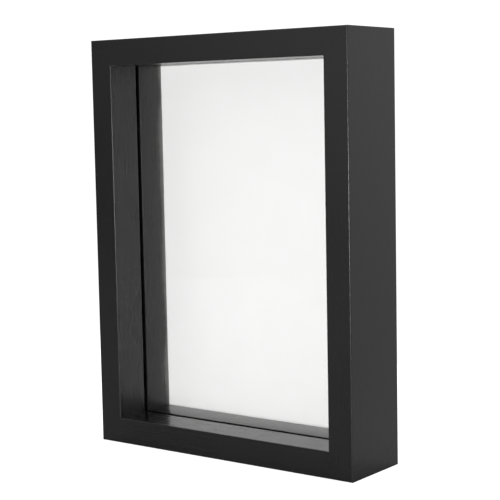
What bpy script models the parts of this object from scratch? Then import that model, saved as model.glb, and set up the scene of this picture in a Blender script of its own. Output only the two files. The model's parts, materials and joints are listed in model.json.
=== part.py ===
"""A table-top shadow box: a deep black wooden frame with its glass half way back.

Four mitred rails make the frame. Behind the lip each rail is stepped, and in that step lie, from
front to back, the glass, four spacer strips, a white card and a thin hardboard back. The back
stands a little proud of the frame, so the turn buttons that hold it are pressed with a step. Two
sawtooth hangers let the box hang upright or on its side.

Metres, +Z up. X is the width, the front faces -Y, and the origin is the centre of the underside.
"""

import math

import bmesh
import bpy
from mathutils import Matrix, Vector

MM = 0.001

# Driving dimensions -------------------------------------------------------------------------------

opening_width = 127.0 * MM  # clear opening between the rails, seen from the front
opening_height = 177.8 * MM
face_width = 12.7 * MM  # width of the black border round the opening
frame_depth = 39.6 * MM  # front face to rear face of a rail
lip_depth = 18.5 * MM  # the full-width front part of a rail, which the glass lies against
step_width = 3.5 * MM  # how far the rail is cut back behind the lip
edge_radius = 0.5 * MM  # rounding of the long outer edges and of the lip

glass_thickness = 2.0 * MM
glass_play = 0.5 * MM  # between the glass and the spacer strips
card_thickness = 0.4 * MM
panel_thickness = 2.0 * MM
panel_proud = 1.5 * MM  # how far the hardboard back stands out of the frame's rear face
side_play = 0.5 * MM  # between the step's wall and the glass, card or back, all round
spacer_edge_radius = 0.4 * MM
panel_corner_radius = 1.0 * MM

button_length = 22.0 * MM
button_width = 6.0 * MM
button_gauge = 0.8 * MM  # sheet thickness
button_step_length = 0.8 * MM  # run of the pressed step between the pivot end and the raised end
button_end_width = 0.8 * MM  # the rounded ends are cut square at this width
button_spacing = 12.0 * MM  # between the sideways hanger and the tip of a button hanging above it

screw_shank_radius = 1.2 * MM
screw_head_radius = 2.4 * MM
screw_head_height = 1.5 * MM
screw_length = 10.0 * MM
recess_arm_length = 3.0 * MM  # cross recess, tip to tip
recess_arm_width = 0.6 * MM
recess_sink = 0.9 * MM

hanger_length = 44.0 * MM
hanger_width = 6.4 * MM
hanger_gauge = 0.8 * MM
hanger_raise = 1.5 * MM  # clearance behind the toothed bar
hanger_end_length = 7.0 * MM  # flat end that is nailed down
hanger_ramp_length = 2.0 * MM
hanger_tooth_count = 9  # an odd count leaves a notch in the middle
hanger_tooth_depth = 1.4 * MM

nail_shank_radius = 0.6 * MM
nail_head_radius = 1.6 * MM
nail_head_height = 0.5 * MM
nail_length = 9.0 * MM

corner_nail_reach = 5.0 * MM  # extent of the V along the mitre
corner_nail_spread = 2.4 * MM  # half of the V's opening
corner_nail_gauge = 0.5 * MM
corner_nail_depth = 12.0 * MM

gap = 0.3 * MM  # clearance between pieces that touch or turn on each other

round_segments = 24
edge_segments = 3  # facets of a rounded edge or corner
end_segments = 6  # facets of a quarter of a button's round end
weld_distance = 0.001 * MM
sharp_angle = 35.0  # degrees; edges that turn more than this look sharp

# Sizes that follow --------------------------------------------------------------------------------

outer_width = opening_width + 2 * face_width
outer_height = opening_height + 2 * face_width
wall_width = face_width - step_width  # the rail behind the lip
recess_width = opening_width + 2 * step_width
recess_height = opening_height + 2 * step_width

glass_front = lip_depth + gap
spacer_front = glass_front + glass_thickness + glass_play
panel_front = frame_depth + panel_proud - panel_thickness
card_front = panel_front - gap - card_thickness
spacer_rear = card_front - gap
spacer_width = step_width - gap

# The pressed step starts outside the screw's head and ends before the edge of the back.
step_start = screw_head_radius + gap
step_end = step_start + button_step_length
step_swing = math.hypot(step_end, button_width / 2)  # how far the step's corners reach as it turns
pivot_inset = wall_width + side_play - step_swing  # from the rail's outer face, clear of the back's edge
button_reach = button_length - button_width / 2  # pivot to tip
button_offset = hanger_length / 2 + button_spacing + button_reach  # from the rail's middle
screw_head_front = frame_depth + gap + button_gauge + gap
hanger_nail_offset = hanger_length / 2 - hanger_end_length / 2


# Helpers ------------------------------------------------------------------------------------------

def clear_scene():
    for found in list(bpy.data.objects):
        bpy.data.objects.remove(found, do_unlink=True)


def material(name, colour, roughness, metallic=0.0, alpha=1.0):
    """A Principled material of one colour."""
    made = bpy.data.materials.new(name)
    made.use_nodes = True
    shader = made.node_tree.nodes["Principled BSDF"]
    shader.inputs["Base Color"].default_value = (*colour, 1.0)
    shader.inputs["Roughness"].default_value = roughness
    shader.inputs["Metallic"].default_value = metallic
    shader.inputs["Alpha"].default_value = alpha
    return made


def finish_mesh(bm, name):
    """Turns a bmesh into a mesh whose faces point outwards."""
    bmesh.ops.recalc_face_normals(bm, faces=bm.faces)
    mesh = bpy.data.meshes.new(name)
    bm.to_mesh(mesh)
    bm.free()
    return mesh


def smoothed(mesh):
    """Shades a mesh smooth across its rounded parts only."""
    mesh.shade_smooth()
    mesh.set_sharp_from_angle(angle=math.radians(sharp_angle))
    return mesh


def place(name, mesh, finish, location=(0, 0, 0), turn_y=0.0, parent=None):
    """Adds an object, turned about Y by turn_y degrees."""
    made = bpy.data.objects.new(name, mesh)
    bpy.context.collection.objects.link(made)
    if finish and not mesh.materials:
        mesh.materials.append(finish)
    made.location = location
    made.rotation_euler = (0.0, math.radians(turn_y), 0.0)
    made.parent = parent
    return made


def extrude_outline(bm, outline, y_start, y_end):
    """Makes a prism along Y from a closed outline of (x, z) points."""
    face = bm.faces.new([bm.verts.new((x, y_start, z)) for x, z in outline])
    grown = bmesh.ops.extrude_face_region(bm, geom=[face])["geom"]
    moved = [v for v in grown if isinstance(v, bmesh.types.BMVert)]
    bmesh.ops.translate(bm, verts=moved, vec=(0, y_end - y_start, 0))


def cut(target, cutter):
    """Takes cutter's shape out of target. The cutter stays as a wire guide."""
    cutter.hide_render = True
    cutter.display_type = "WIRE"
    modifier = target.modifiers.new("cut", "BOOLEAN")
    modifier.operation = "DIFFERENCE"
    modifier.solver = "EXACT"
    modifier.object = cutter


def bored(target, radius, x, z, y_start, y_end, parent):
    """Drills a round hole along Y through target, from depth y_start to y_end."""
    bm = bmesh.new()
    bmesh.ops.create_cone(
        bm,
        cap_ends=True,
        segments=round_segments,
        radius1=radius,
        radius2=radius,
        depth=y_end - y_start,
        matrix=Matrix.Rotation(math.pi / 2, 4, "X"),
    )
    mesh = finish_mesh(bm, "bore")
    cutter = place("bore_guide", mesh, None, (x, (y_start + y_end) / 2, z), parent=parent)
    cut(target, cutter)


def cross_recess(screw):
    """Sinks a cross for the driver into a screw's head."""
    bottom = screw_head_height - recess_sink
    arms = ((recess_arm_length, recess_arm_width), (recess_arm_width, recess_arm_length))
    for width, height in arms:
        bm = bmesh.new()
        bmesh.ops.create_cube(bm, size=1.0)
        bmesh.ops.scale(bm, vec=(width, 2 * recess_sink, height), verts=bm.verts)
        mesh = finish_mesh(bm, "recess")
        cut(screw, place("recess_guide", mesh, None, (0, bottom + recess_sink, 0), parent=screw))


def turned_pin(name, head_radius, head_height, shank_radius, length):
    """A screw or nail along Y: its head starts at y = 0 and its shank points to -Y."""
    crown_radius = 0.6 * head_radius
    crown_start = 2 / 3 * head_height
    point_length = 2 * shank_radius
    profile = [
        (0.0, head_height),
        (crown_radius, head_height),
        (head_radius, crown_start),
        (head_radius, 0.0),
        (shank_radius, 0.0),
        (shank_radius, point_length - length),
        (0.0, -length),
    ]
    bm = bmesh.new()
    ring = [bm.verts.new((r, y, 0.0)) for r, y in profile]
    edges = [bm.edges.new(pair) for pair in zip(ring, ring[1:])]
    bmesh.ops.spin(
        bm,
        geom=ring + edges,
        axis=(0, 1, 0),
        cent=(0, 0, 0),
        angle=2 * math.pi,
        steps=round_segments,
    )
    bmesh.ops.remove_doubles(bm, verts=bm.verts, dist=weld_distance)
    return smoothed(finish_mesh(bm, name))


def pressed_strip(name, stations, gauge):
    """A strip of sheet metal along X.

    Each station is (x, lower z, upper z, lift), where lift is how far the sheet's near face stands
    off the surface at y = 0.
    """
    bm = bmesh.new()
    rings = []
    for x, low, high, lift in stations:
        corners = ((low, lift), (high, lift), (high, lift + gauge), (low, lift + gauge))
        rings.append([bm.verts.new((x, y, z)) for z, y in corners])
    for near, far in zip(rings, rings[1:]):
        for i in range(4):
            j = (i + 1) % 4
            bm.faces.new((near[i], near[j], far[j], far[i]))
    bm.faces.new(rings[0])
    bm.faces.new(rings[-1][::-1])
    return finish_mesh(bm, name)


# Pieces -------------------------------------------------------------------------------------------

def rail_mesh(name, outer_length):
    """A mitred rail along X: its outer face is z = 0 and its front face y = 0.

    The section has the full face width over the lip and the narrower wall behind it. Its three
    exposed corners are rounded before it is drawn out to the mitres.
    """
    section = [
        (0.0, 0.0),
        (0.0, face_width),
        (lip_depth, face_width),
        (lip_depth, wall_width),
        (frame_depth, wall_width),
        (frame_depth, 0.0),
    ]
    exposed = (0, 1, 5)
    bm = bmesh.new()
    corners = [bm.verts.new((0.0, y, z)) for y, z in section]
    face = bm.faces.new(corners)
    bmesh.ops.bevel(
        bm,
        geom=[corners[i] for i in exposed],
        offset=edge_radius,
        offset_type="OFFSET",
        segments=edge_segments,
        profile=0.5,
        affect="VERTICES",
    )
    face = bm.faces[:][0]
    grown = bmesh.ops.extrude_face_region(bm, geom=[face])["geom"]
    far_end = {v for v in grown if isinstance(v, bmesh.types.BMVert)}
    mitre_relief = gap / 2 * math.sqrt(2)
    for vertex in bm.verts:
        reach = outer_length / 2 - vertex.co.z - mitre_relief
        vertex.co.x = reach if vertex in far_end else -reach
    return smoothed(finish_mesh(bm, name))


def plate_mesh(name, width, height, thickness, corner_radius):
    """A flat plate centred on x = z = 0 whose front face is y = 0."""
    bm = bmesh.new()
    bmesh.ops.create_cube(bm, size=1.0)
    bmesh.ops.scale(bm, vec=(width, thickness, height), verts=bm.verts)
    bmesh.ops.translate(bm, vec=(0, thickness / 2, 0), verts=bm.verts)
    along_y = [e for e in bm.edges if abs(e.verts[0].co.y - e.verts[1].co.y) > thickness / 2]
    bmesh.ops.bevel(
        bm, geom=along_y, offset=corner_radius, segments=edge_segments, profile=0.5, affect="EDGES"
    )
    return finish_mesh(bm, name)


def spacer_mesh(name, length):
    """A spacer strip along X: its inner face is z = spacer_width, its front face y = 0."""
    bm = bmesh.new()
    depth = spacer_rear - spacer_front
    bmesh.ops.create_cube(bm, size=1.0)
    bmesh.ops.scale(bm, vec=(length, depth, spacer_width), verts=bm.verts)
    bmesh.ops.translate(bm, vec=(0, depth / 2, spacer_width / 2), verts=bm.verts)
    inner_edges = [
        e for e in bm.edges
        if all(v.co.z > spacer_width / 2 for v in e.verts)
        and abs(e.verts[0].co.x - e.verts[1].co.x) > length / 2
    ]
    bmesh.ops.bevel(
        bm,
        geom=inner_edges,
        offset=spacer_edge_radius,
        segments=edge_segments,
        profile=0.5,
        affect="EDGES",
    )
    return finish_mesh(bm, name)


def button_mesh():
    """A turn button: round at both ends, its pivot at the origin and its raised end at +X."""
    radius = button_width / 2
    raised_centre = button_reach - radius
    raised = gap + panel_proud
    quarter = [math.pi / 2 * i / end_segments for i in range(end_segments + 1)]
    ends = [(math.cos(a) * radius, max(math.sin(a) * radius, button_end_width / 2)) for a in quarter]
    stations = [(-x, -half, half, gap) for x, half in ends]
    stations.append((step_start, -radius, radius, gap))
    stations.append((step_end, -radius, radius, raised))
    stations += [(raised_centre + x, -half, half, raised) for x, half in reversed(ends)]
    return pressed_strip("turn_button", stations, button_gauge)


def hanger_mesh():
    """A sawtooth hanger along X: flat nailed ends and a raised bar with teeth along -Z."""
    half = hanger_length / 2
    flat = half - hanger_end_length
    bar = flat - hanger_ramp_length
    low, high = -hanger_width / 2, hanger_width / 2
    raised = gap + hanger_raise
    stations = [(-half, low, high, gap), (-flat, low, high, gap)]
    pitch = 2 * bar / hanger_tooth_count
    for tooth in range(hanger_tooth_count + 1):
        root = -bar + tooth * pitch
        stations.append((root, low, high, raised))
        if tooth < hanger_tooth_count:
            stations.append((root + pitch / 2, low + hanger_tooth_depth, high, raised))
    stations += [(flat, low, high, gap), (half, low, high, gap)]
    return pressed_strip("sawtooth_hanger", stations, hanger_gauge)


def corner_nail_outline(grow):
    """The V of a corner nail, enlarged by grow, as (along, across) the mitre line."""
    angle = math.atan2(corner_nail_spread, corner_nail_reach)
    half_gauge = corner_nail_gauge / 2 + grow
    apex = half_gauge / math.sin(angle)
    end = corner_nail_reach + grow
    slope = math.tan(angle)
    upper = [(-apex, 0.0), (end, (end + apex) * slope), (end, (end - apex) * slope), (apex, 0.0)]
    lower = [(along, -across) for along, across in upper[2:0:-1]]
    return upper + lower


def corner_nail_mesh(grow, depth_start, depth_end):
    """A corner nail in the lower left corner, its middle on the middle of the rail wall."""
    half_reach = corner_nail_reach / 2
    middle = wall_width / 2
    outline = []
    for along, across in corner_nail_outline(grow):
        run = (along - half_reach) / math.sqrt(2)
        off = across / math.sqrt(2)
        outline.append((middle + run + off, middle + run - off))
    bm = bmesh.new()
    extrude_outline(bm, outline, depth_start, depth_end)
    return finish_mesh(bm, "corner_nail")


# Assembly -----------------------------------------------------------------------------------------

def build():
    clear_scene()

    black = material("black_paint", (0.018, 0.018, 0.019), 0.42)
    spacer_black = material("spacer_black", (0.022, 0.022, 0.023), 0.45)
    glass = material("clear_glass", (0.95, 0.97, 0.97), 0.03, alpha=0.15)
    white = material("white_card", (0.88, 0.88, 0.87), 0.8)
    hardboard = material("hardboard", (0.16, 0.09, 0.05), 0.7)
    steel = material("zinc_plated_steel", (0.62, 0.63, 0.64), 0.35, 1.0)

    # Depth is measured from the front face, so everything hangs on an empty in that plane.
    front = bpy.data.objects.new("front_plane", None)
    bpy.context.collection.objects.link(front)
    front.location = (0.0, -frame_depth / 2, 0.0)

    # Rails: (name, length, x, z, turn about Y that points local +Z at the opening)
    middle = outer_height / 2
    sides = {
        "bottom": (outer_width, 0.0, 0.0, 0.0),
        "top": (outer_width, 0.0, outer_height, 180.0),
        "left": (outer_height, -outer_width / 2, middle, 90.0),
        "right": (outer_height, outer_width / 2, middle, -90.0),
    }
    rails = {}
    for side, (length, x, z, turn) in sides.items():
        mesh = rail_mesh(f"rail_{side}", length)
        rails[side] = place(f"rail_{side}", mesh, black, (x, 0.0, z), turn, front)

    # Corner nails, driven from behind across each mitre
    nail_front = frame_depth - gap - corner_nail_depth
    nail = corner_nail_mesh(0.0, nail_front, frame_depth - gap)
    slot = corner_nail_mesh(gap, nail_front - gap, frame_depth + gap)
    corners = {
        "bottom_left": (-outer_width / 2, 0.0, 0.0, ("bottom", "left")),
        "top_left": (-outer_width / 2, outer_height, 90.0, ("top", "left")),
        "top_right": (outer_width / 2, outer_height, 180.0, ("top", "right")),
        "bottom_right": (outer_width / 2, 0.0, -90.0, ("bottom", "right")),
    }
    for corner, (x, z, turn, joined) in corners.items():
        place(f"corner_nail_{corner}", nail, steel, (x, 0.0, z), turn, front)
        for side in joined:
            guide = place(f"slot_{corner}_{side}", slot, None, (x, 0.0, z), turn, front)
            cut(rails[side], guide)

    # What lies in the step behind the lip, front to back
    plate_width = recess_width - 2 * side_play
    plate_height = recess_height - 2 * side_play
    pane = plate_mesh("glass_pane", plate_width, plate_height, glass_thickness, side_play)
    place("glass_pane", pane, glass, (0.0, glass_front, middle), parent=front)

    upright_spacer = spacer_mesh("spacer_upright", recess_height - 2 * gap)
    level_spacer = spacer_mesh("spacer_level", opening_width - 2 * gap)
    seat = wall_width + gap
    spacers = {
        "bottom": (level_spacer, 0.0, seat, 0.0),
        "top": (level_spacer, 0.0, outer_height - seat, 180.0),
        "left": (upright_spacer, -outer_width / 2 + seat, middle, 90.0),
        "right": (upright_spacer, outer_width / 2 - seat, middle, -90.0),
    }
    for side, (mesh, x, z, turn) in spacers.items():
        place(f"spacer_{side}", mesh, spacer_black, (x, spacer_front, z), turn, front)

    card = plate_mesh("backing_card", plate_width, plate_height, card_thickness, side_play)
    place("backing_card", card, white, (0.0, card_front, middle), parent=front)
    board = plate_mesh(
        "back_panel", plate_width, plate_height, panel_thickness, panel_corner_radius
    )
    place("back_panel", board, hardboard, (0.0, panel_front, middle), parent=front)

    # Turn buttons, two on each long rail, hanging straight down beside the back when unlocked
    button = button_mesh()
    screw = turned_pin(
        "pivot_screw", screw_head_radius, screw_head_height, screw_shank_radius, screw_length
    )
    for side, sign in (("left", -1), ("right", 1)):
        for row, offset in (("upper", button_offset), ("lower", -button_offset)):
            x = sign * (outer_width / 2 - pivot_inset)
            z = middle + offset
            at_face = (x, frame_depth, z)
            made = place(f"turn_button_{side}_{row}", button, steel, at_face, 90.0, front)
            bored(
                made, screw_shank_radius + gap, 0.0, 0.0, -gap, button_gauge + 3 * gap, made
            )
            at_head = (x, screw_head_front, z)
            driven = place(f"pivot_screw_{side}_{row}", screw, steel, at_head, parent=front)
            cross_recess(driven)
            hole_bottom = screw_head_front - screw_length - gap
            bored(
                rails[side], screw_shank_radius + gap, x, z, hole_bottom, frame_depth + gap, front
            )

    # Sawtooth hangers: one for hanging upright, one for hanging on the long side
    hanger = hanger_mesh()
    tack = turned_pin(
        "hanger_nail", nail_head_radius, nail_head_height, nail_shank_radius, nail_length
    )
    tack_head_front = frame_depth + gap + hanger_gauge + gap
    hangers = {
        "upright": ("top", 0.0, outer_height - wall_width / 2, 0.0, Vector((1, 0, 0))),
        "sideways": ("left", -outer_width / 2 + wall_width / 2, middle, -90.0, Vector((0, 0, 1))),
    }
    for use, (side, x, z, turn, along) in hangers.items():
        at_face = (x, frame_depth, z)
        made = place(f"hanger_{use}", hanger, steel, at_face, turn, front)
        for end, sign in (("a", -1), ("b", 1)):
            reach = sign * hanger_nail_offset
            bored(
                made, nail_shank_radius + gap, reach, 0.0, -gap, hanger_gauge + 3 * gap, made
            )
            spot = Vector((x, 0.0, z)) + along * reach
            place(
                f"hanger_nail_{use}_{end}",
                tack,
                steel,
                (spot.x, tack_head_front, spot.z),
                parent=front,
            )
            hole_bottom = tack_head_front - nail_length - gap
            bored(
                rails[side],
                nail_shank_radius + gap,
                spot.x,
                spot.z,
                hole_bottom,
                frame_depth + gap,
                front,
            )


build()
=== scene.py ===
# %% [markdown]
# # A black shadow box
#
# A shadow box is a deep frame with room between its glass and its back. This one is four mitred
# wooden rails with satin black paint, a pane half way back, black spacer strips that hold the pane
# against the rails' lip, a white card, and a hardboard back that four turn buttons hold in place.
# The working model is already built and jointed. This script dresses it: it loads that model as a
# fixed frame, makes finer pieces that stand for its plain ones, and gives each piece its finish.

import json
import math

import bmesh
import bpy
import numpy as np
from mathutils import Matrix, Vector


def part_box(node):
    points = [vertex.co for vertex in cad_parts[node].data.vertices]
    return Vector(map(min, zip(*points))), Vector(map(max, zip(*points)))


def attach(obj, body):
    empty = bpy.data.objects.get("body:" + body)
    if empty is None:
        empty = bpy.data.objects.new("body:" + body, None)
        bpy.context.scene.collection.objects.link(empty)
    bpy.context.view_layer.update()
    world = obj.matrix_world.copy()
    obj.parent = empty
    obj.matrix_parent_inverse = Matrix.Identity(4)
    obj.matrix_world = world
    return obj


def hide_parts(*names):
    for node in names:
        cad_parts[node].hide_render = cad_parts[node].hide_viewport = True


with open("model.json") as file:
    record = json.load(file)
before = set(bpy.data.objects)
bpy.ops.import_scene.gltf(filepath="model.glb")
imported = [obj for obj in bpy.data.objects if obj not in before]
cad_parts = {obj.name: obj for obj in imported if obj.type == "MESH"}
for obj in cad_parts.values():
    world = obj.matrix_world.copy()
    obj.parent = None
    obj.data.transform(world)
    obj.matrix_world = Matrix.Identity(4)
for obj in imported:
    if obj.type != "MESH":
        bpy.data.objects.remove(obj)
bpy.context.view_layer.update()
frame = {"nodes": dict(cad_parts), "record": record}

MM = 0.001
gap = 0.3 * MM  # between pieces that touch in the real box
lower_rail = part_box("rail_bottom")
left_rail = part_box("rail_left")
pane_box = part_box("glass_pane")
card_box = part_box("backing_card")
panel_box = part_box("back_panel")

front_y, rear_y = lower_rail[0].y, lower_rail[1].y
width = 2 * abs(left_rail[0].x)
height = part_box("rail_top")[1].z
face_width = lower_rail[1].z
lip_depth = pane_box[0].y - gap - front_y
wall_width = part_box("spacer_bottom")[0].z - gap
middle = Vector((0.0, 0.0, height / 2))
print(f"frame {width / MM:.1f} x {height / MM:.1f} x {(rear_y - front_y) / MM:.1f} mm,"
      f" face {face_width / MM:.1f}, lip {lip_depth / MM:.1f}, rear wall {wall_width / MM:.1f}")

# %% [markdown]
# ## The camera
#
# A long lens from a little over half a metre keeps the box's edges nearly parallel. The camera
# stands to the right and slightly above the middle. Its matrix is put together from three unit
# vectors: `back` points from the box to the camera, `right` is level and square to it, and `up`
# completes the set. A small roll turns the last two about the first. Building the matrix this way,
# and not with a Track To constraint, gives exact control of the roll.

# %% Place the camera
def heading(azimuth, elevation):
    """The unit vector towards these angles, in radians: 0 is in front, and azimuth turns right."""
    across = math.cos(elevation)
    return Vector((
        math.sin(azimuth) * across, -math.cos(azimuth) * across, math.sin(elevation)
    ))


azimuth, elevation, roll = (math.radians(a) for a in (37.14, 5.83, -1.11))
camera_distance = 3.265 * height
aim_right, aim_up = 0.0240 * height, -0.0092 * height
focal_share = 2.7324  # focal length over the width of the picture

back = heading(azimuth, elevation)
level = Vector((math.cos(azimuth), math.sin(azimuth), 0.0))
upright = back.cross(level)
right = level * math.cos(roll) + upright * math.sin(roll)
up = upright * math.cos(roll) - level * math.sin(roll)
place = middle + right * aim_right + up * aim_up + back * camera_distance

camera_data = bpy.data.cameras.new("camera")
camera_data.sensor_width = 36.0
camera_data.lens = camera_data.sensor_width * focal_share
camera_data.clip_start = 0.01
camera = bpy.data.objects.new("camera", camera_data)
bpy.context.collection.objects.link(camera)
camera.matrix_world = Matrix((
    (right.x, up.x, back.x, place.x),
    (right.y, up.y, back.y, place.y),
    (right.z, up.z, back.z, place.z),
    (0.0, 0.0, 0.0, 1.0),
))
bpy.context.scene.camera = camera
print(f"camera at {tuple(round(c, 3) for c in place)}, lens {camera_data.lens:.1f} mm")

# %% [markdown]
# ## Shader maths as Python
#
# Node trees get hard to read when every sum is a node. `Value` wraps one output socket and gives it
# Python's own operators, so `1 - mask * 0.3` adds the two Math nodes and joins them. `Nodes` is a
# tree whose `add` method makes any other node: it takes the node's type, its settings, and what
# goes into its sockets, by name or by number. `Finish` is a material with such a tree.

# %% Helpers for materials
class Value:
    """An output socket that varies over a surface, with Python's operators as Math nodes."""

    def __init__(self, finish, socket):
        self.finish, self.socket = finish, socket

    def maths(self, operation, first, second):
        return self.finish.maths(operation, first, second)

    def __truediv__(self, other):
        return self.maths("DIVIDE", self, other)

    def __add__(self, other):
        return self.maths("ADD", self, other)

    def __sub__(self, other):
        return self.maths("SUBTRACT", self, other)

    def __rsub__(self, other):
        return self.maths("SUBTRACT", other, self)

    def __mul__(self, other):
        return self.maths("MULTIPLY", self, other)

    def __pow__(self, other):
        return self.maths("POWER", self, other)

    def least(self, other):
        return self.maths("MINIMUM", self, other)

    def most(self, other):
        return self.maths("MAXIMUM", self, other)

    __radd__, __rmul__ = __add__, __mul__


class Nodes:
    """A node tree that makes nodes and hands back their outputs as Values."""

    def __init__(self, tree):
        self.tree = tree

    def maths(self, operation, first, second):
        return self.add("ShaderNodeMath", {"operation": operation}, {0: first, 1: second})

    def add(self, kind, settings=None, sockets=None, output=0):
        """Makes a node and returns one of its outputs as a Value."""
        node = self.tree.nodes.new(kind)
        for name, value in (settings or {}).items():
            setattr(node, name, value)
        for key, value in (sockets or {}).items():
            self.feed(node.inputs[key], value)
        return Value(self, node.outputs[output])

    def feed(self, socket, value):
        if isinstance(value, Value):
            self.tree.links.new(value.socket, socket)
        else:
            socket.default_value = value

    def stretched(self, vector, scale, turn=(0.0, 0.0, 0.0)):
        return self.add(
            "ShaderNodeMapping", {}, {"Vector": vector, "Scale": scale, "Rotation": turn}
        )

    def noise(self, vector, scale, detail=2.0, roughness=0.5):
        sockets = {"Vector": vector, "Scale": scale, "Detail": detail, "Roughness": roughness}
        return self.add("ShaderNodeTexNoise", {}, sockets)

    def fade(self, value, low, high):
        """0 below low and 1 above high, with a smooth step between."""
        sockets = {0: value, 1: low, 2: high, 3: 0.0, 4: 1.0}
        return self.add("ShaderNodeMapRange", {"interpolation_type": "SMOOTHSTEP"}, sockets)

    def blend(self, share, first, second):
        """A colour between two colours."""
        sockets = {0: share, 6: first, 7: second}
        return self.add("ShaderNodeMix", {"data_type": "RGBA"}, sockets, output=2)

    def bump(self, height_value, depth, strength=1.0):
        sockets = {"Height": height_value, "Distance": depth, "Strength": strength}
        return self.add("ShaderNodeBump", {}, sockets)

    def axis(self, vector, name):
        return self.add("ShaderNodeSeparateXYZ", {}, {0: vector}, output=name)


class Finish(Nodes):
    """A node material with one Principled shader. Constants go on its sockets by name."""

    def __init__(self, name, **constants):
        self.material = bpy.data.materials.new(name)
        self.material.use_nodes = True
        super().__init__(self.material.node_tree)
        self.shader = self.tree.nodes["Principled BSDF"]
        self.output = self.tree.nodes["Material Output"]
        for socket, value in constants.items():
            self.shader.inputs[socket.replace("_", " ")].default_value = value

    def drive(self, **sockets):
        """Links values to the shader's own sockets."""
        for name, value in sockets.items():
            self.feed(self.shader.inputs[name.replace("_", " ")], value)

    def place(self):
        """Object coordinates, in metres."""
        return self.add("ShaderNodeTexCoord", output="Object")

    def along(self, uv_map):
        """The piece's own map: metres along it and metres round it."""
        return self.add("ShaderNodeUVMap", {"uv_map": uv_map})


def grey(level):
    """A colour without hue."""
    return (level, level, level, 1.0)


print("helpers ready: Value, Finish")

# %% [markdown]
# ## The studio
#
# Glossy black shows its surroundings more than its own colour, so the room is the main tool. The
# sky is a gradient: dim in front, bright behind and overhead, with one soft glow to the front left
# that the front face mirrors. A soft box nearly straight in front shines into the frame, so that
# the walls shade the white card little. It stays off the camera's own line, because the glass and
# the left wall meet square and would throw its light straight back.
#
# The floor is plain and pale, paler behind the box than in front. The camera sees both sky and
# floor as plain white: the Light Path node tells its rays from those that light the box.

# %% Build the studio
world = bpy.data.worlds.new("studio")
bpy.context.scene.world = world
world.use_nodes = True
sky = Nodes(world.node_tree)
direction = sky.add("ShaderNodeTexCoord", output="Generated")
sky_front, sky_rear, sky_top, sky_glow, sky_seen = 0.08, 0.79, 0.46, 0.88, 1.1
below_horizon, above_horizon = 0.68, 1.02
glow_way = heading(math.radians(-22.0), math.radians(14.0))
glow_edge, glow_core = math.cos(math.radians(28.0)), math.cos(math.radians(6.0))

lift = sky.fade(sky.axis(direction, "Z"), -0.2, 0.1)
around = sky.fade(sky.axis(direction, "Y"), -0.5, 0.6) * (sky_rear - sky_front) + sky_front
around = around * (lift * (above_horizon - below_horizon) + below_horizon)
overhead = sky.fade(sky.axis(direction, "Z"), 0.30, 0.85)
towards_glow = sky.add(
    "ShaderNodeVectorMath", {"operation": "DOT_PRODUCT"}, {0: direction, 1: glow_way}, output=1
)
glow = sky.fade(towards_glow, glow_edge, glow_core)
seen = sky.add("ShaderNodeLightPath", output="Is Camera Ray")
lit = overhead * sky_top + glow * sky_glow + around
background = world.node_tree.nodes["Background"]
background.inputs["Color"].default_value = grey(1.0)
sky.feed(background.inputs["Strength"], seen * sky_seen + lit * (1 - seen))

bpy.context.scene.view_settings.view_transform = "Standard"


def soft_box(name, azimuth_degrees, elevation_degrees, distance, wide, tall, power):
    """A rectangular area light that looks at the middle of the box."""
    data = bpy.data.lights.new(name, "AREA")
    data.shape = "RECTANGLE"
    data.size, data.size_y = wide, tall
    data.energy = power
    lamp = bpy.data.objects.new(name, data)
    bpy.context.collection.objects.link(lamp)
    towards = heading(math.radians(azimuth_degrees), math.radians(elevation_degrees))
    lamp.location = middle + towards * distance
    lamp.rotation_euler = towards.to_track_quat("Z", "Y").to_euler()


soft_box("key", azimuth_degrees=10.0, elevation_degrees=-2.0, distance=1.8,
         wide=0.50, tall=0.16, power=33.0)

floor_mesh = bpy.data.meshes.new("floor")
floor_radius, floor_sides = 0.45, 96
floor_centre = (-0.16, -0.20, 0.0)
round_it = np.linspace(0.0, 2 * math.pi, floor_sides, endpoint=False)
rim = np.stack([np.cos(round_it), np.sin(round_it), 0 * round_it], -1) * floor_radius
rim += floor_centre
floor_mesh.from_pydata(rim.tolist(), [], [list(range(floor_sides))])
floor = bpy.data.objects.new("floor", floor_mesh)
bpy.context.collection.objects.link(floor)
floor_in_front, floor_behind = grey(0.40), grey(0.75)
pale = Finish("pale_floor", Roughness=0.9, Specular_IOR_Level=0.1, Emission_Strength=0.85)
behind = pale.fade(pale.axis(pale.place(), "Y"), -0.08, 0.04)
to_viewer = pale.add("ShaderNodeLightPath", output="Is Camera Ray")
pale.drive(
    Base_Color=pale.blend(behind, floor_in_front, floor_behind),
    Emission_Color=pale.blend(to_viewer, grey(0.0), grey(1.0)),
)
floor_mesh.materials.append(pale.material)
print("studio: sky", sky_front, "in front,", sky_rear, "behind,", sky_top, "more overhead")

# %% [markdown]
# ## From rings of points to a piece
#
# Almost everything here is a section carried along a path, so one function makes them all. It takes
# an array of rings, each the same number of points in the same order, joins neighbours with quads
# and closes the two ends. The same array may carry a map: how far along and how far round each point
# lies, in metres, which lets grain follow the wood. Faces have to point outwards, and a mirrored
# section would turn them in, so the signed volume decides whether to flip them. It is the sum, over
# all triangles, of one corner times the cross product of the other two.

# %% Make a mesh from rings
GRAIN_MAP, EDGE = "grain", "edge"
SHARP_ANGLE = math.radians(32.0)


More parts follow.
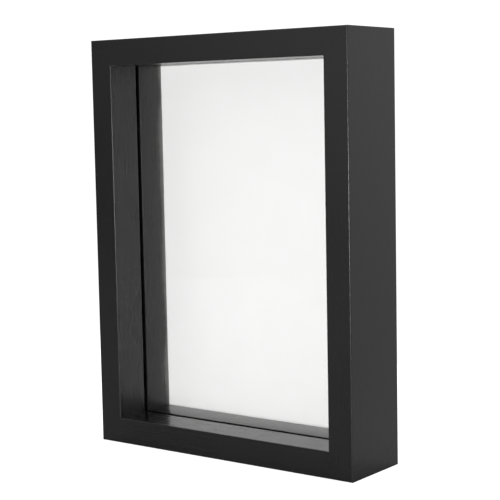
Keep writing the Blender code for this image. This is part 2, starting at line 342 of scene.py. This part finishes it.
def sweep(name, rings, finish, body, replaced, along=None, edge=None):
    """Joins rings (count, points, 3) into a closed piece and puts it into the model.

    Point j of ring i is joined to point j + 1 of it and to both points of ring i + 1. The map's u is
    `along` (one value a ring, or one a point) and its v is the length round the first ring. edge
    marks which points of a ring lie on a rounded edge, where the colour gets a painted highlight
    and the paint is thin.
    """
    count, around = rings.shape[:2]
    points = rings.reshape(-1, 3)
    i, j = np.meshgrid(np.arange(count - 1), np.arange(around), indexing="ij")
    j_next = (j + 1) % around
    quads = np.stack(
        [i * around + j, i * around + j_next, (i + 1) * around + j_next, (i + 1) * around + j], -1
    ).reshape(-1, 4)
    corners = points[quads]
    volume = np.einsum(
        "ij,ij->i", corners[:, 0], np.cross(corners[:, 1], corners[:, 2])
    ) + np.einsum("ij,ij->i", corners[:, 0], np.cross(corners[:, 2], corners[:, 3]))
    caps = [np.arange(around)[::-1], np.arange(around) + (count - 1) * around]
    for cap in caps:
        centre, ring = points[cap].mean(0), points[cap]
        volume = np.append(volume, np.einsum(
            "ij,ij->i", np.broadcast_to(centre, ring.shape), np.cross(ring, np.roll(ring, -1, 0))
        ))
    inwards = volume.sum() < 0
    faces = [*quads.tolist(), *[cap.tolist() for cap in caps]]
    mesh = bpy.data.meshes.new(name)
    mesh.from_pydata(points.tolist(), [], [face[::-1] if inwards else face for face in faces])
    mesh.update()

    steps = np.linalg.norm(np.roll(rings, -1, 1) - rings, axis=2)
    round_v = np.concatenate([np.zeros((1,)), np.cumsum(steps[0])])
    if along is None:
        centre_steps = np.linalg.norm(np.diff(rings.mean(1), axis=0), axis=1)
        along = np.concatenate([[0.0], np.cumsum(centre_steps)])
    along = np.broadcast_to(np.asarray(along).reshape(count, -1), (count, around))
    u = np.stack([along[i, j], along[i, j_next], along[i + 1, j_next], along[i + 1, j]], -1)
    v = np.stack([round_v[j], round_v[j + 1], round_v[j + 1], round_v[j]], -1)
    quad_map = np.stack([u, v], -1).reshape(-1, 4, 2)
    cap_map = np.stack([along[[0, -1]], np.broadcast_to(round_v[:-1], (2, around))], -1)
    cap_map[0] = cap_map[0][::-1]
    if inwards:
        quad_map, cap_map = quad_map[:, ::-1], cap_map[:, ::-1]
    layer = mesh.uv_layers.new(name=GRAIN_MAP)
    flat = np.concatenate([quad_map.ravel(), cap_map.ravel()])
    layer.uv.foreach_set("vector", flat.astype(np.float32))
    if edge is not None:
        marks = mesh.attributes.new(EDGE, "FLOAT", "POINT")
        marks.data.foreach_set("value", np.tile(edge, count).astype(np.float32))
    return into_model(name, mesh, finish, body, replaced)


def into_model(name, mesh, finish, body, replaced):
    """Gives a finished mesh its object, material, body and record entries."""
    mesh.shade_smooth()
    mesh.set_sharp_from_angle(angle=SHARP_ANGLE)
    mesh.materials.append(finish.material)
    piece = bpy.data.objects.new(name, mesh)
    bpy.context.collection.objects.link(piece)
    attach(piece, body)
    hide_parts(*replaced)
    return piece


def rounded(corners, radii, steps=5, guard=0.0):
    """A closed outline of right-angled corners, each replaced by a quarter circle.

    A quarter circle runs from `radius` before the corner to `radius` after it. Its centre is the
    corner plus radius times both edge directions, and each point is that centre less radius times
    cos(t) of one direction and sin(t) of the other. guard adds a point on each side of the arc, that
    much further out, so that what is painted on the edge doesn't spread over the flat.
    """
    corners = np.asarray(corners, float)
    radii = np.asarray(radii, float)[:, None]
    before = np.roll(corners, 1, 0) - corners
    after = np.roll(corners, -1, 0) - corners
    before /= np.linalg.norm(before, axis=1, keepdims=True)
    after /= np.linalg.norm(after, axis=1, keepdims=True)
    centre = corners + radii * (before + after)
    t = np.linspace(0.0, math.pi / 2, steps + 1)[None, :, None]
    turning = np.cos(t) * after[:, None] + np.sin(t) * before[:, None]
    arcs = centre[:, None] - radii[:, None] * turning
    if guard:
        lead = (corners + (radii + guard) * before)[:, None]
        trail = (corners + (radii + guard) * after)[:, None]
        arcs = np.concatenate([lead, arcs, trail], 1)
    return arcs.reshape(-1, 2)


SIDES = {
    # side: (inward direction, starting point on the outer face, direction along the rail)
    "bottom": (Vector((0, 0, 1)), Vector((0, 0, 0)), Vector((1, 0, 0))),
    "top": (Vector((0, 0, -1)), Vector((0, 0, height)), Vector((1, 0, 0))),
    "left": (Vector((1, 0, 0)), Vector((-width / 2, 0, height / 2)), Vector((0, 0, 1))),
    "right": (Vector((-1, 0, 0)), Vector((width / 2, 0, height / 2)), Vector((0, 0, 1))),
}


def onto_side(side, along, inward, depth):
    """World points for distances along a rail, in from its outer face and back from the front."""
    inward_way, start, along_way = (np.array(v) for v in SIDES[side])
    points = along[..., None] * along_way + inward[..., None] * inward_way + start
    points[..., 1] += front_y + depth
    return points


print("mesh helpers ready")

# %% [markdown]
# ## Satin black paint
#
# The paint is sprayed over fine-grained wood, so three things show at a low angle: the grain, as
# long faint ridges; a slight orange peel from the spray; and roughness that varies from place to
# place. The grain is noise stretched along the rail's own map. A weak, sharper coat lies over the
# satin gloss, as the last thin pass of the spray leaves it. Along the eased edges the colour is
# lifted: a painted highlight for the thin line of light that a rounded edge catches, on paint
# that is also thin and worn there. The mesh marks its edges with an attribute, and the material
# reads it.

# %% Satin black paint
# Paler colour for the eased edges: a painted highlight, where the paint is also thin and worn.
edge_highlight_and_wear = grey(0.05)


def black_paint(name, level, roughness=0.28):
    """Satin black: level is the colour's brightness, and roughness the middle of its range."""
    paint = Finish(name, IOR=1.5, Specular_IOR_Level=0.38, Coat_Weight=0.08, Coat_Roughness=0.14)
    along = paint.along(GRAIN_MAP)
    space = paint.place()
    fibre = paint.noise(paint.stretched(along, (35.0, 2600.0, 1.0)), 1.0, 3.0, 0.6)
    pore = paint.noise(paint.stretched(along, (160.0, 5200.0, 1.0)), 1.0, 1.0)
    pores = paint.fade(pore, 0.64, 0.74)
    cloud = paint.noise(space, 28.0, 3.0)
    peel = paint.noise(space, 1400.0, 1.0)
    tone = paint.blend(cloud, grey(level * 0.85), grey(level * 1.2))
    tone = paint.blend(pores * 0.5, tone, grey(level * 0.5))
    edge = paint.add("ShaderNodeAttribute", {"attribute_name": EDGE}, output="Fac")
    # Painted highlight along the eased edges, where the paint is also thin and worn.
    tone = paint.blend(edge, tone, edge_highlight_and_wear)
    height_value = fibre * 0.7 + peel * 0.25 - pores * 0.4
    paint.drive(
        Base_Color=tone,
        Roughness=fibre * 0.10 + cloud * 0.08 + (roughness - 0.09),
        Normal=paint.bump(height_value, 0.006 * MM, 0.5),
    )
    return paint


paint = black_paint("satin_black_paint", 0.0060)
print("paint:", len(paint.tree.nodes), "nodes")

# %% [markdown]
# ## The rails
#
# Each rail is one section: the full face width over the lip, then a step back to a narrower wall
# that makes room for the glass, the strips and the back. Its long edges are eased with about a
# quarter millimetre radius, which catches the light down the front corner. The section is carried
# between two mitres, so a point that lies further in has a shorter rail: it stops at half the
# length less its distance from the outer face.

# %% Make the rails
lip_radius, edge_radius, rear_radius = 0.22 * MM, 0.28 * MM, 0.25 * MM
hairline = 0.02 * MM  # half the width of the joint line at a mitre
frame_depth = rear_y - front_y
guard = 0.5 * MM  # keeps the painted edge highlight and wear on the edge itself

rail_outline = rounded(
    [(0, 0), (face_width, 0), (face_width, lip_depth), (wall_width, lip_depth),
     (wall_width, frame_depth), (0, frame_depth)],
    [edge_radius, lip_radius, rear_radius, rear_radius, rear_radius, edge_radius],
    guard=guard,
)
# Each corner has a guard point, six points of its arc and another guard point. The painted edge
# highlight, with its wear, is strongest on the inner front edge, and the two edges inside the step
# get none.
across_edge = [0, 0, 0.6, 1, 1, 0.6, 0, 0]
edge_lift_by_corner = [0.3, 0.7, 0, 0, 0.3, 0.3]
edge_lift_marks = np.tile(across_edge, len(edge_lift_by_corner)) * np.repeat(edge_lift_by_corner, len(across_edge))


def make_rail(side):
    """Ring s is the section at the left (s = -1) or right (s = 1) mitre, or at a step between."""
    length = width if side in ("bottom", "top") else height
    inward, depth = rail_outline.T
    share = np.linspace(-1.0, 1.0, 9)[:, None]
    along = share * (length / 2 - inward - hairline)
    rings = onto_side(side, along, np.broadcast_to(inward, along.shape),
                      np.broadcast_to(depth, along.shape))
    shift = 0.37 * list(SIDES).index(side)  # so that no two rails show the same grain
    return sweep(f"painted_rail_{side}", rings, paint, "frame", [f"rail_{side}"],
                 along=along + shift, edge=edge_lift_marks)


rails = {side: make_rail(side) for side in SIDES}
print("rails:", {side: len(rail.data.polygons) for side, rail in rails.items()})

# %% [markdown]
# A V-shaped nail is driven from behind across each mitre, a little below the surface, so each rail
# end shows half of a thin V slot. The nails of the working model give the cutters: a copy is merged,
# fattened a little and stretched out past the rear face, and a Boolean takes it from both rails. The
# result is applied, so no cutter has to stay in the scene.

# %% Slot the mitres for the corner nails
corners = {
    f"{up}_{across}": (up, across) for up in ("bottom", "top") for across in ("left", "right")
}


slot_room = 0.06 * MM


def nail_cutter(corner):
    """The nail's shape, larger by slot_room all round and stretched past the rear face."""
    nail = frame["nodes"][f"corner_nail_{corner}"]
    shape = bmesh.new()
    shape.from_mesh(nail.data)
    shape.transform(nail.matrix_world)
    bmesh.ops.remove_doubles(shape, verts=shape.verts, dist=0.001 * MM)
    bmesh.ops.recalc_face_normals(shape, faces=shape.faces)
    rear = max(v.co.y for v in shape.verts)
    for v in shape.verts:
        v.co += v.normal * v.calc_shell_factor() * slot_room
        if v.co.y > rear - 0.1 * MM:
            v.co.y = rear + 1.0 * MM
    mesh = bpy.data.meshes.new("nail_cutter")
    shape.to_mesh(mesh)
    shape.free()
    cutter = bpy.data.objects.new("nail_cutter", mesh)
    bpy.context.collection.objects.link(cutter)
    return cutter


for corner, rail_sides in corners.items():
    cutter = nail_cutter(corner)
    for side in rail_sides:
        slot = rails[side].modifiers.new("slot", "BOOLEAN")
        slot.object = cutter
        result = rails[side].evaluated_get(bpy.context.evaluated_depsgraph_get())
        slotted = bpy.data.meshes.new_from_object(result)
        rails[side].modifiers.clear()
        rails[side].data = slotted
    bpy.data.objects.remove(cutter)
for rail in rails.values():
    borrowed = rail.data.attributes.get("custom_normal")
    if borrowed:  # the cutters' normals, which would bend the light on the flat faces
        rail.data.attributes.remove(borrowed)
    rail.data.set_sharp_from_angle(angle=SHARP_ANGLE)
print("slotted:", {side: len(rail.data.polygons) for side, rail in rails.items()})

# %% [markdown]
# ## The spacer strips
#
# Behind the glass four strips fill the step, flush with the lip. They are cut by hand and painted
# with the same black. Over their last few millimetres, against the card, a ragged pale band is
# painted into that black: a painted reflection of the white card. Each strip also wanders by a
# tenth of a millimetre or so, as a slow sum of sines, which makes its reflections waver.

# %% Make the spacer strips
strip_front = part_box("spacer_bottom")[0].y - front_y
strip_rear = card_box[0].y - front_y - 0.02 * MM
# Colour of a painted reflection of the white card, laid as a ragged pale band on the strips.
card_reflection_colour = (0.30, 0.295, 0.285, 1.0)

spacer_paint = black_paint("spacer_black_paint", 0.0065)
spacer_axis = spacer_paint.axis(spacer_paint.place(), "Y")
from_card = ((front_y + strip_rear) - spacer_axis).most(0.0)
strip_map = spacer_paint.along(GRAIN_MAP)
slow = spacer_paint.noise(spacer_paint.stretched(strip_map, (24.0, 1.0, 1.0)), 1.0, 1.0)
ragged = spacer_paint.noise(
    spacer_paint.stretched(strip_map, (240.0, 160.0, 1.0)), 1.0, 3.0, 0.6
)
# Painted reflection of the white card: a ragged pale band, a few millimetres wide, along the strips'
# rear edge.
reach = spacer_paint.fade(slow, 0.30, 0.70) * (5.0 * MM) + ragged * (2.0 * MM) + 1.2 * MM
near_card = 1 - (from_card / reach).least(1.0)
card_reflection_share = near_card ** 2.2 * (ragged * 0.5 + 0.6)
strip_paint_tone = Value(spacer_paint, spacer_paint.shader.inputs["Base Color"].links[0].from_socket)
spacer_paint.drive(Base_Color=spacer_paint.blend(card_reflection_share, strip_paint_tone, card_reflection_colour))


def wander(along, seed):
    """A slow sum of three sines, from -1 to 1, different for each seed."""
    waves = np.array([[37.0, 0.5, 0.9], [91.0, 0.3, 2.3], [173.0, 0.2, 4.1]])
    return sum(a * np.sin(k * along + p * (seed + 1)) for k, a, p in waves)


def make_strip(side, seed):
    """A strip whose shown face draws back by up to 0.2 mm towards the rear."""
    span = height - 2 * wall_width if side in ("left", "right") else width - 2 * face_width
    slack = 0.05 * MM
    outline = rounded(
        [(wall_width + slack, strip_front), (face_width, strip_front), (face_width, strip_rear),
         (wall_width + slack, strip_rear)],
        [0.2 * MM, 0.12 * MM, 0.2 * MM, 0.2 * MM],
        steps=4,
    )
    inward, depth = outline.T
    along = np.linspace(-0.5, 0.5, 81)[:, None] * (span - 2 * slack)
    shown = inward > (wall_width + face_width) / 2
    rearward = np.clip((depth - strip_front) / (strip_rear - strip_front), 0, 1) ** 2
    drift = -0.10 * MM * (1 + wander(along, seed)) * rearward * shown
    rings = onto_side(side, np.broadcast_to(along, (len(along), len(depth))),
                      inward + drift, np.broadcast_to(depth, drift.shape))
    return sweep(f"spacer_strip_{side}", rings, spacer_paint, "frame", [f"spacer_{side}"],
                 along=along + 0.53 * seed)


strips = {side: make_strip(side, seed) for seed, side in enumerate(SIDES)}
print(f"{len(strips)} strips, from {strip_front / MM:.2f} to {strip_rear / MM:.2f} mm deep")

# %% [markdown]
# ## The glass
#
# Clear glass does two things here: it lets the card show, and it mirrors a few per cent of the room.
# A refracting shader would also darken the card, because light from the lamps has to find its way
# through by chance, so the pane is a Transparent shader mixed with a mirror. The mirror's share
# follows Schlick's rule: 4% face on, plus 96% of the slant to the fifth power. The Fresnel node
# would be wrong here. Where the ray leaves the pane it reckons from inside the glass, and at a
# slant it turns the far face into a full mirror. Fine dust and a few wiped smudges add to the mix.

# %% Glass
glass = Finish("clear_glass", Base_Color=(0.9, 0.92, 0.92, 1.0), Roughness=0.04, Metallic=1.0)
space = glass.place()
dust = glass.fade(glass.noise(space, 1100.0, 0.0), 0.80, 0.86)
smear = glass.noise(glass.stretched(space, (14.0, 14.0, 5.0), (0.0, 0.6, 0.0)), 1.0, 4.0, 0.7)
smudge = glass.fade(smear, 0.60, 0.80)
slant = glass.add("ShaderNodeLayerWeight", {}, {"Blend": 0.5}, output="Facing")
face_on = 0.04
mirror = slant ** 5.0 * (1 - face_on) + face_on
share = (mirror * 0.9 + smudge * 0.010 + dust * 0.06).least(1.0)
clear = glass.add("ShaderNodeBsdfTransparent", {}, {"Color": grey(0.99)})
mixed = glass.add("ShaderNodeMixShader", {}, {
    0: share, 1: clear, 2: Value(glass, glass.shader.outputs[0])
})
glass.feed(glass.output.inputs["Surface"], mixed)


def refinish(node, finish):
    """Gives a node of the working model a finish in place of its plain one."""
    piece = frame["nodes"][node]
    piece.data.materials.clear()
    piece.data.materials.append(finish.material)


refinish("glass_pane", glass)
print("glass:", len(glass.tree.nodes), "nodes")

# %% [markdown]
# ## The white card
#
# Smooth white card is nearly even. Up close it has a soft fibre and a slight mottle.

# %% White card
card = Finish("white_card", Specular_IOR_Level=0.2)
space = card.place()
mottled = card.noise(space, 60.0, 4.0)
fibre = card.noise(card.stretched(space, (900.0, 900.0, 500.0), (0.0, 0.5, 0.0)), 1.0, 3.0, 0.7)
card.drive(
    Base_Color=card.blend(mottled, (0.815, 0.815, 0.81, 1.0), (0.85, 0.85, 0.845, 1.0)),
    Roughness=mottled * 0.1 + 0.70,
    Normal=card.bump(fibre, 0.01 * MM, 0.5),
)
refinish("backing_card", card)
print("card:", len(card.tree.nodes), "nodes")

# %% [markdown]
# ## The hardboard back
#
# Hardboard is brown fibre pressed flat: a smooth face with short darker and paler fibres lying every
# way.

# %% Hardboard back
board = Finish("brown_hardboard")
space = board.place()
cloud = board.noise(space, 22.0, 4.0, 0.6)
brown = board.blend(cloud, (0.135, 0.073, 0.040, 1.0), (0.200, 0.116, 0.064, 1.0))
pale_fibre, dark_fibre = (0.33, 0.215, 0.13, 1.0), (0.055, 0.030, 0.018, 1.0)
layers = []
# Each layer of fibres: its turn in the board's plane, its fineness and its colour.
for turn, fine, colour in (
    (0.3, 1.0, pale_fibre), (-0.9, 1.3, dark_fibre), (1.4, 0.8, pale_fibre), (2.4, 1.1, dark_fibre)
):
    turned = board.stretched(space, (1.0, 1.0, 1.0), (0.0, turn, 0.0))
    lie = board.stretched(turned, (1900.0 * fine, 500.0, 420.0 * fine))
    fleck = board.fade(board.noise(lie, 1.0, 3.0, 0.7), 0.55, 0.72)
    brown = board.blend(fleck * 0.38, brown, colour)
    layers.append(fleck * 0.25)
flecks = layers[0] + layers[1] + layers[2] + layers[3]
board.drive(
    Base_Color=brown,
    Roughness=cloud * 0.15 + 0.50 + flecks * 0.1,
    Normal=board.bump(flecks, 0.03 * MM, 0.7),
)


def make_panel():
    """A plate as rings round its outline, from its front face out round the edge to the rear."""
    low, high = panel_box
    ease, corner = 0.25 * MM, 1.0 * MM
    half_x, half_z = (high.x - low.x) / 2, (high.z - low.z) / 2
    t = np.linspace(0.0, math.pi / 2, 5)
    insets = np.concatenate([ease * (1 - np.sin(t)), ease * (1 - np.cos(t))])
    depths = np.concatenate([low.y + ease * (1 - np.cos(t)), high.y - ease * (1 - np.sin(t))])
    rings = []
    for inset, depth in zip(insets, depths):
        x, z = half_x - inset, half_z - inset
        outline = rounded([(-x, -z), (x, -z), (x, z), (-x, z)], [corner - inset] * 4, steps=6)
        rings.append(np.stack([outline[:, 0], np.full(len(outline), depth),
                               outline[:, 1] + height / 2], -1))
    return sweep("hardboard_back", np.array(rings), board, "back", ["back_panel"])


panel = make_panel()
print("back:", len(panel.data.polygons), "faces")

# %% [markdown]
# ## Zinc-plated steel
#
# Stamped hardware is thin zinc plate over steel: bright, a little bluish, with fine rolling lines
# along the strip, scattered scratches and a dull bloom.

# %% Zinc-plated steel
def plated_steel(name, roughness=0.30):
    """Zinc plate whose bloom and scratches make it rougher or smoother than the given value."""
    steel = Finish(name, Metallic=1.0)
    space = steel.place()
    bloom = steel.noise(space, 420.0, 4.0, 0.6)
    rolled = steel.noise(steel.stretched(space, (5000.0, 900.0, 300.0)), 1.0, 2.0)
    scratch = steel.fade(
        steel.noise(steel.stretched(space, (9000.0, 400.0, 260.0), (0.2, 0.9, 0.0)), 1.0, 0.0),
        0.72, 0.78,
    )
    tone = steel.blend(bloom, (0.50, 0.52, 0.55, 1.0), (0.74, 0.75, 0.76, 1.0))
    tone = steel.blend(scratch * 0.4, tone, (0.85, 0.85, 0.86, 1.0))
    steel.drive(
        Base_Color=tone,
        Roughness=bloom * 0.22 + (roughness - 0.1) + scratch * 0.1,
        Normal=steel.bump(rolled * 0.6 + bloom * 0.4, 0.01 * MM, 0.6),
    )
    return steel


steel = plated_steel("zinc_plated_steel")
print("steel:", len(steel.tree.nodes), "nodes")

# %% [markdown]
# ## Turn buttons
#
# A turn button is a strip punched from sheet, round at both ends, with a step pressed into it so
# that its free end clears the back, which stands proud of the frame. Here the strip's middle line is
# a smooth step, its half width follows a circle at each end, and each ring is a small rounded
# rectangle set square to that line.

# %% Make the turn buttons
def pressed_sheet(path, edges, gauge, corner):
    """Rings for a strip of sheet.

    path is (n, 2): distance along and lift of the sheet's near face. edges is (n, 2): its lower and
    upper edge. Each ring is a rectangle from edge to edge and one gauge thick, its corners rounded,
    set square to the path.
    """
    slope = np.gradient(path, axis=0)
    slope /= np.linalg.norm(slope, axis=1, keepdims=True)
    normal = np.stack([-slope[:, 1], slope[:, 0]], -1)
    unit = rounded([(0, 0), (1, 0), (1, 1), (0, 1)], [0.5] * 4, steps=4)
    across, through = (unit - 0.5).T
    half = (edges[:, 1] - edges[:, 0]) / 2
    centre = edges.mean(1)
    ease = np.minimum(corner, half)
    # A rounded rectangle: the circle of the unit outline, pushed out to each side.
    z = centre[:, None] + np.sign(across) * (half - ease)[:, None] + 2 * across * ease[:, None]
    rise = gauge / 2 + np.sign(through) * (gauge / 2 - corner) + 2 * through * corner
    x = path[:, :1] + normal[:, :1] * rise
    lift = path[:, 1:] + normal[:, 1:] * rise
    return x, lift, z


def ease_between(value, start, end):
    """0 before start, 1 after end and 3t^2 - 2t^3 between."""
    t = np.clip((value - start) / (end - start), 0.0, 1.0)
    return t * t * (3 - 2 * t)


button_half = (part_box("turn_button_left_upper")[1].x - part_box("turn_button_left_upper")[0].x) / 2
button_gauge = 0.8 * MM
panel_proud = panel_box[1].y - rear_y
step_start, step_end = 2.7 * MM, 3.5 * MM


def make_button(place_name, joint):
    """A button hanging straight down: x runs from its pivot to its tip, y is its lift."""
    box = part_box(f"turn_button_{place_name}")
    pivot = Vector(joint["pos_m"])
    tip = pivot.z - box[0].z
    start = -button_half
    angle = np.linspace(0.0, math.pi / 2, 10)
    nose = button_half * (1 - np.cos(angle))
    runs = np.concatenate([
        start + nose, np.linspace(1.0, 2.5, 4) * MM, np.linspace(step_start, step_end, 9),
        np.linspace(4.5 * MM, tip - button_half - 0.5 * MM, 4), (tip - nose)[::-1],
    ])
    lift = gap + panel_proud * ease_between(runs, step_start, step_end)
    from_ends = np.minimum(np.minimum(runs - start, tip - runs), button_half)
    half = np.sqrt(np.maximum(button_half**2 - (button_half - from_ends) ** 2, 0.0))
    half = np.maximum(half, 0.35 * MM)
    edges = np.stack([-half, half], -1)
    x, y, z = pressed_sheet(np.stack([runs, lift], -1), edges, button_gauge, 0.12 * MM)
    rings = np.stack([pivot.x + z, rear_y + y, pivot.z - x], -1)
    body = joint["child"]
    return sweep(f"pressed_button_{place_name}", rings, steel, body,
                 [f"turn_button_{place_name}"])


joints = {joint["name"]: joint for joint in frame["record"]["behaviour"]["joints"]}
places = ["left_upper", "left_lower", "right_upper", "right_lower"]
buttons = [make_button(place_name, joints[f"button_{place_name}_turn"]) for place_name in places]
print("turn buttons:", len(buttons), "with", len(buttons[0].data.polygons), "faces each")

# %% [markdown]
# ## Screws and nails
#
# A pan head is turned, so it is a profile carried round an axis, but the cross for the driver isn't
# round. It is still one surface: the height of the head at radius r and angle a is the dome less
# the depth of the cross, where the cross is 1 inside either arm and fades to 0 across its wall.

# %% Make the pivot screws
def round_piece(name, centre, radius, height_at, shank, finish, replaced):
    """A head and shank along Y. height_at(x, z) is the head's height over its seat.

    Rings go from the middle of the head out to its rim, down its side, in under it and along the
    shank (pairs of radius and distance from the seat).
    """
    turns = 72
    angle = np.linspace(0.0, 2 * math.pi, turns, endpoint=False)
    cos, sin = np.cos(angle), np.sin(angle)
    radii = radius * np.concatenate([[0.004], np.linspace(0.03, 0.96, 44), [0.985, 1.0]])
    x, z = radii[:, None] * cos, radii[:, None] * sin
    y = height_at(x, z)
    lower = np.array([(radius, 0.35 * y[-1].mean()), (radius * 0.99, 0.0), *shank])
    x = np.concatenate([x, lower[:, :1] * cos])
    z = np.concatenate([z, lower[:, :1] * sin])
    y = np.concatenate([y, np.broadcast_to(lower[:, 1:], (len(lower), turns))])
    rings = np.stack([centre.x + x, centre.y + y, centre.z + z], -1)
    return sweep(name, rings, finish, "frame", [replaced])


head_radius, head_height = 2.4 * MM, 1.5 * MM
arm_reach, arm_half, cross_depth, wall = 1.5 * MM, 0.32 * MM, 0.95 * MM, 0.12 * MM


def pan_head(x, z):
    """A flattened dome less a cross whose arms taper towards their tips."""
    r = np.hypot(x, z) / head_radius
    dome = head_height * (0.42 + 0.58 * np.sqrt(np.maximum(1 - r**3.2, 0.0)))
    reach, side = np.maximum(abs(x), abs(z)), np.minimum(abs(x), abs(z))
    inside = ease_between(arm_half - side, -wall / 2, wall / 2)
    inside = inside * ease_between(arm_reach - reach, 0.0, 3 * wall)
    return dome - cross_depth * inside


thread_pitch, thread_depth, shank_radius = 0.9 * MM, 0.18 * MM, 1.2 * MM
turn_count = 9
thread = [(shank_radius - thread_depth * (i % 2), -(0.6 * MM + i * thread_pitch / 2))
          for i in range(2 * turn_count)]
screw_length, point_radius = 9.9 * MM, 0.02 * MM
screw_shank = [(shank_radius, 0.0), *thread, (point_radius, -screw_length)]

for place_name in places:
    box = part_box(f"pivot_screw_{place_name}")
    pivot = joints[f"button_{place_name}_turn"]["pos_m"]
    seat = Vector((pivot[0], box[1].y - head_height, pivot[2]))
    round_piece(f"pan_screw_{place_name}", seat, head_radius, pan_head, screw_shank, steel,
                f"pivot_screw_{place_name}")
print("pan screws:", len(places))

# %% [markdown]
# ## Sawtooth hangers
#
# A sawtooth hanger is the same kind of pressed strip: its ends lie flat for the nails and its
# middle stands off the wood, with teeth along the lower edge that bite on the wall's nail.

# %% Make the hangers and their nails
tooth_count, tooth_depth, tooth_flat = 9, 1.4 * MM, 0.12
hanger_gauge, hanger_raise = 0.8 * MM, 1.5 * MM
flat_end, ramp_length = 7.0 * MM, 2.0 * MM


def make_hanger(use, along_way, up_way):
    """A strip whose runs go from one flat end over the toothed, raised bar to the other."""
    low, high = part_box(f"hanger_{use}")
    centre = (low + high) / 2
    span = max(high.x - low.x, high.z - low.z)
    wide = min(high.x - low.x, high.z - low.z)
    flat = span / 2 - flat_end
    bar = flat - ramp_length
    pitch = 2 * bar / tooth_count
    tooth = np.array([-0.5, -0.5 + tooth_flat, -tooth_flat / 3, tooth_flat / 3, 0.5 - tooth_flat])
    teeth = (np.arange(tooth_count)[:, None] + 0.5 + tooth).ravel() * pitch - bar
    ramp = np.linspace(bar, flat, 7)[1:]
    ends = np.array([flat + 0.6 * MM, span / 2 - 0.5 * MM, span / 2 - 0.15 * MM, span / 2])
    runs = np.concatenate([-ends[::-1], -ramp[::-1], teeth, [bar], ramp, ends])
    lift = gap + hanger_raise * (1 - ease_between(abs(runs), bar, flat))
    phase = np.mod((runs + bar) / pitch, 1.0)
    notch = np.clip((0.5 - abs(phase - 0.5) - tooth_flat) / (0.5 - tooth_flat - 0.04), 0, 1)
    notch = np.where(abs(runs) < bar - 1e-6, notch, 0.0)
    corner = 0.5 * MM * ease_between(abs(runs), span / 2 - 0.5 * MM, span / 2)
    edges = np.stack([-wide / 2 + tooth_depth * notch + corner,
                      np.full(len(runs), wide / 2) - corner], -1)
    x, y, z = pressed_sheet(np.stack([runs, lift], -1), edges, hanger_gauge, 0.10 * MM)
    along_way, up_way = np.array(along_way), np.array(up_way)
    rings = x[..., None] * along_way + z[..., None] * up_way + np.array(centre)
    rings[..., 1] = rear_y + y
    return sweep(f"sawtooth_{use}", rings, steel, "frame", [f"hanger_{use}"])


make_hanger("upright", (1.0, 0.0, 0.0), (0.0, 0.0, 1.0))
make_hanger("sideways", (0.0, 0.0, 1.0), (-1.0, 0.0, 0.0))

nail_head, nail_thick = 1.6 * MM, 0.5 * MM


def nail_top(x, z):
    r = np.hypot(x, z) / nail_head
    checks = 0.012 * MM * np.sin(x * 9000.0) * np.sin(z * 9000.0)
    return nail_thick * (0.6 + 0.4 * np.sqrt(np.maximum(1 - r**6, 0.0))) + checks


nail_radius, taper_start, nail_length = 0.6 * MM, 7.6 * MM, 8.9 * MM
nail_shank = [(nail_radius, 0.0), (nail_radius, -taper_start), (point_radius, -nail_length)]
nail_steel = plated_steel("nail_steel", 0.38)
nail_names = [f"{use}_{end}" for use in ("upright", "sideways") for end in "ab"]
for nail in nail_names:
    low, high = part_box(f"hanger_nail_{nail}")
    seat = Vector(((low.x + high.x) / 2, high.y - nail_thick, (low.z + high.z) / 2))
    round_piece(f"tack_{nail}", seat, nail_head, nail_top, nail_shank, nail_steel,
                f"hanger_nail_{nail}")
for node in frame["nodes"]:
    if node.startswith("corner_nail"):
        refinish(node, nail_steel)
print("hangers: 2, nails:", len(nail_names))
